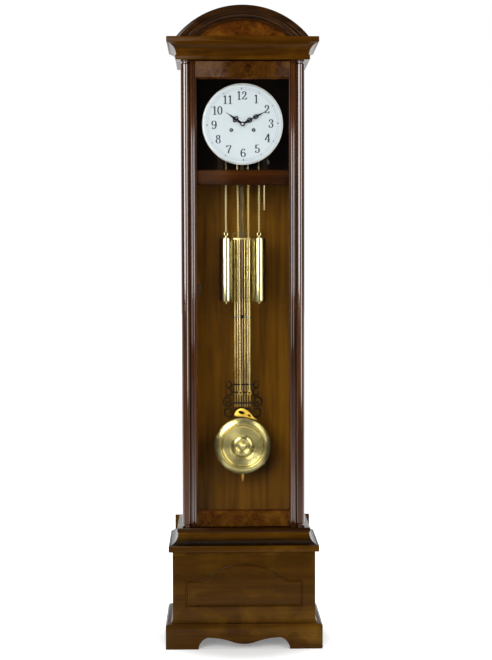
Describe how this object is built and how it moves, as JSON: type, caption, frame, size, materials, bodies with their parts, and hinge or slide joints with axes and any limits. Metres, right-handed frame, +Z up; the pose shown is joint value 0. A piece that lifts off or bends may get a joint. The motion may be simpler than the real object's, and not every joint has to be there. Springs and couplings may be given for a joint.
{
  "type": "longcase clock",
  "caption": "Floor-standing longcase clock in walnut-stained wood: arched pediment, full-length glazed door, white dial, weights on chains and a lyre pendulum with a round brass bob",
  "frame": {"origin": "middle of the bounding box at floor level", "axes": "+Z up, -Y out of the dial towards the viewer, +X to the viewer's right"},
  "size_m": [0.49, 0.29, 2],
  "materials": {
    "walnut": "walnut-stained wood under satin lacquer",
    "burl": "burl veneer under gloss lacquer",
    "plain_wood": "stained plywood, unpolished",
    "glass": "clear flat glass",
    "steel": "fine ground steel",
    "dial_white": "cool white enamel-like lacquer",
    "pale_metal": "satin silvered metal",
    "black_metal": "black lacquer",
    "brass": "lacquered turned brass",
    "cast_iron": "black oxide"
  },
  "bodies": {
    "case": {"plinth_boards": "walnut", "plinth_moulding": "walnut", "base_front_board": "walnut", "base_sides": "walnut", "base_floor": "plain_wood", "base_slab": "walnut", "waist_cove": "walnut", "waist_slab": "walnut", "trunk_sides": "walnut", "corner_posts": "walnut", "corner_columns": "walnut", "back_panel": "plain_wood", "cornice_slab": "walnut", "cornice_cove": "walnut", "top_slab": "walnut", "arch_moulding": "walnut", "tympanum": "burl", "arch_roof": "walnut", "door_fittings": "steel", "seat_board": "plain_wood", "seat_rail": "walnut", "dial_plate": "dial_white", "dial_rings": "pale_metal", "movement_frame": "brass", "suspension": "brass", "rod_gong": "cast_iron", "time_weight_chain": "brass", "time_free_chain": "brass", "strike_weight_chain": "brass", "strike_free_chain": "brass"},
    "door": {"door_stiles": "walnut", "door_rails": "burl", "door_glass": "glass", "glazing_beads": "walnut"},
    "centre_arbor": {"centre_wheel": "brass", "cannon_pinion": "brass", "minute_hand": "black_metal", "hand_nut": "pale_metal"},
    "intermediate_arbor": {"intermediate_wheel": "brass"},
    "time_great_arbor": {"time_great_wheel": "brass"},
    "third_arbor": {"third_wheel": "brass"},
    "escape_arbor": {"escape_wheel": "brass"},
    "minute_wheel_stud": {"minute_wheel": "brass"},
    "hour_pipe": {"hour_wheel": "brass", "hour_hand": "black_metal"},
    "time_chain_wheel": {"time_sprocket": "steel"},
    "strike_chain_wheel": {"strike_sprocket": "steel"},
    "strike_great_arbor": {"strike_great_wheel": "brass"},
    "strike_pin_arbor": {"strike_pin_wheel": "brass"},
    "hammer": {"hammer": "steel"},
    "anchor": {"anchor": "steel"},
    "pendulum": {"pendulum_leader": "brass", "lyre_rods": "brass", "lyre_frame": "brass"},
    "bob": {"bob": "brass"},
    "rating_nut": {"rating_nut": "brass"},
    "time_weight": {"time_weight": "brass"},
    "strike_weight": {"strike_weight": "brass"},
    "time_chain_end": {"time_chain_end": "brass"},
    "strike_chain_end": {"strike_chain_end": "brass"}
  },
  "joints": [
    {"name": "door_swing", "type": "hinge", "parent": "case", "child": "door", "pos_m": [0.16, -0.0868, 1.103], "axis": [0, 0, 1], "range_deg": [0, 110]},
    {"name": "escape_spin", "type": "hinge", "parent": "case", "child": "escape_arbor", "pos_m": [0, 0, 1.668], "axis": [0, 1, 0], "continuous": true},
    {"name": "third_spin", "type": "hinge", "parent": "case", "child": "third_arbor", "pos_m": [-0.01271, 0, 1.65547], "axis": [0, 1, 0], "continuous": true},
    {"name": "centre_spin", "type": "hinge", "parent": "case", "child": "centre_arbor", "pos_m": [0, 0, 1.638], "axis": [0, 1, 0], "continuous": true},
    {"name": "intermediate_spin", "type": "hinge", "parent": "case", "child": "intermediate_arbor", "pos_m": [0.00396, 0, 1.61433], "axis": [0, 1, 0], "continuous": true},
    {"name": "time_great_spin", "type": "hinge", "parent": "case", "child": "time_great_arbor", "pos_m": [0.035, 0, 1.6197], "axis": [0, 1, 0], "continuous": true},
    {"name": "minute_wheel_spin", "type": "hinge", "parent": "case", "child": "minute_wheel_stud", "pos_m": [0.01358, 0, 1.62442], "axis": [0, 1, 0], "continuous": true},
    {"name": "hour_spin", "type": "hinge", "parent": "case", "child": "hour_pipe", "pos_m": [0, 0, 1.638], "axis": [0, 1, 0], "continuous": true},
    {"name": "strike_great_spin", "type": "hinge", "parent": "case", "child": "strike_great_arbor", "pos_m": [-0.035, 0, 1.6197], "axis": [0, 1, 0], "continuous": true},
    {"name": "strike_pin_spin", "type": "hinge", "parent": "case", "child": "strike_pin_arbor", "pos_m": [-0.01159, 0, 1.59862], "axis": [0, 1, 0], "continuous": true},
    {"name": "pendulum_swing", "type": "hinge", "parent": "case", "child": "pendulum", "pos_m": [0, 0, 1.6892], "axis": [0, 1, 0], "range_deg": [-3, 3]},
    {"name": "anchor_rock", "type": "hinge", "parent": "case", "child": "anchor", "pos_m": [0, 0, 1.6892], "axis": [0, 1, 0], "range_deg": [-3, 3]},
    {"name": "rating_nut_turn", "type": "hinge", "parent": "bob", "child": "rating_nut", "pos_m": [0, 0.0508, 0.514], "axis": [0, 0, 1], "range_deg": [-1080, 1080]},
    {"name": "bob_slide", "type": "slide", "parent": "pendulum", "child": "bob", "axis": [0, 0, 1], "range_m": [-0.0024, 0.0024]},
    {"name": "hammer_lift", "type": "hinge", "parent": "case", "child": "hammer", "pos_m": [0.066, 0, 1.606], "axis": [0, 1, 0], "range_deg": [-9, 0]},
    {"name": "time_weight_drop", "type": "slide", "parent": "case", "child": "time_weight", "axis": [0, 0, 1], "range_m": [-0.66, 0.165], "deforming": ["time_weight_chain"]},
    {"name": "strike_weight_drop", "type": "slide", "parent": "case", "child": "strike_weight", "axis": [0, 0, 1], "range_m": [-0.66, 0.165], "deforming": ["strike_weight_chain"]},
    {"name": "time_chain_end_rise", "type": "slide", "parent": "case", "child": "time_chain_end", "axis": [0, 0, 1], "range_m": [-0.165, 0.66], "deforming": ["time_free_chain"]},
    {"name": "strike_chain_end_rise", "type": "slide", "parent": "case", "child": "strike_chain_end", "axis": [0, 0, 1], "range_m": [-0.165, 0.66], "deforming": ["strike_free_chain"]},
    {"name": "time_chain_wheel_spin", "type": "hinge", "parent": "case", "child": "time_chain_wheel", "pos_m": [0.035, 0, 1.6197], "axis": [0, 1, 0], "continuous": true},
    {"name": "strike_chain_wheel_spin", "type": "hinge", "parent": "case", "child": "strike_chain_wheel", "pos_m": [-0.035, 0, 1.6197], "axis": [0, 1, 0], "continuous": true}
  ],
  "couplings": [
    {"joint": "third_spin", "follows": "escape_spin", "ratio": -0.13333},
    {"joint": "centre_spin", "follows": "escape_spin", "ratio": 0.016667},
    {"joint": "intermediate_spin", "follows": "escape_spin", "ratio": -0.0055556},
    {"joint": "time_great_spin", "follows": "escape_spin", "ratio": 0.00092593},
    {"joint": "minute_wheel_spin", "follows": "escape_spin", "ratio": -0.0055556},
    {"joint": "hour_spin", "follows": "escape_spin", "ratio": 0.0013889},
    {"joint": "strike_pin_spin", "follows": "strike_great_spin", "ratio": -6},
    {"joint": "anchor_rock", "follows": "pendulum_swing", "ratio": 1},
    {"joint": "rating_nut_turn", "follows": "bob_slide", "rad_per_m": 7854},
    {"joint": "time_chain_end_rise", "follows": "time_weight_drop", "ratio": -1},
    {"joint": "strike_chain_end_rise", "follows": "strike_weight_drop", "ratio": -1},
    {"joint": "time_chain_wheel_spin", "follows": "time_weight_drop", "rad_per_m": -57.143},
    {"joint": "strike_chain_wheel_spin", "follows": "strike_weight_drop", "rad_per_m": 57.143}
  ]
}
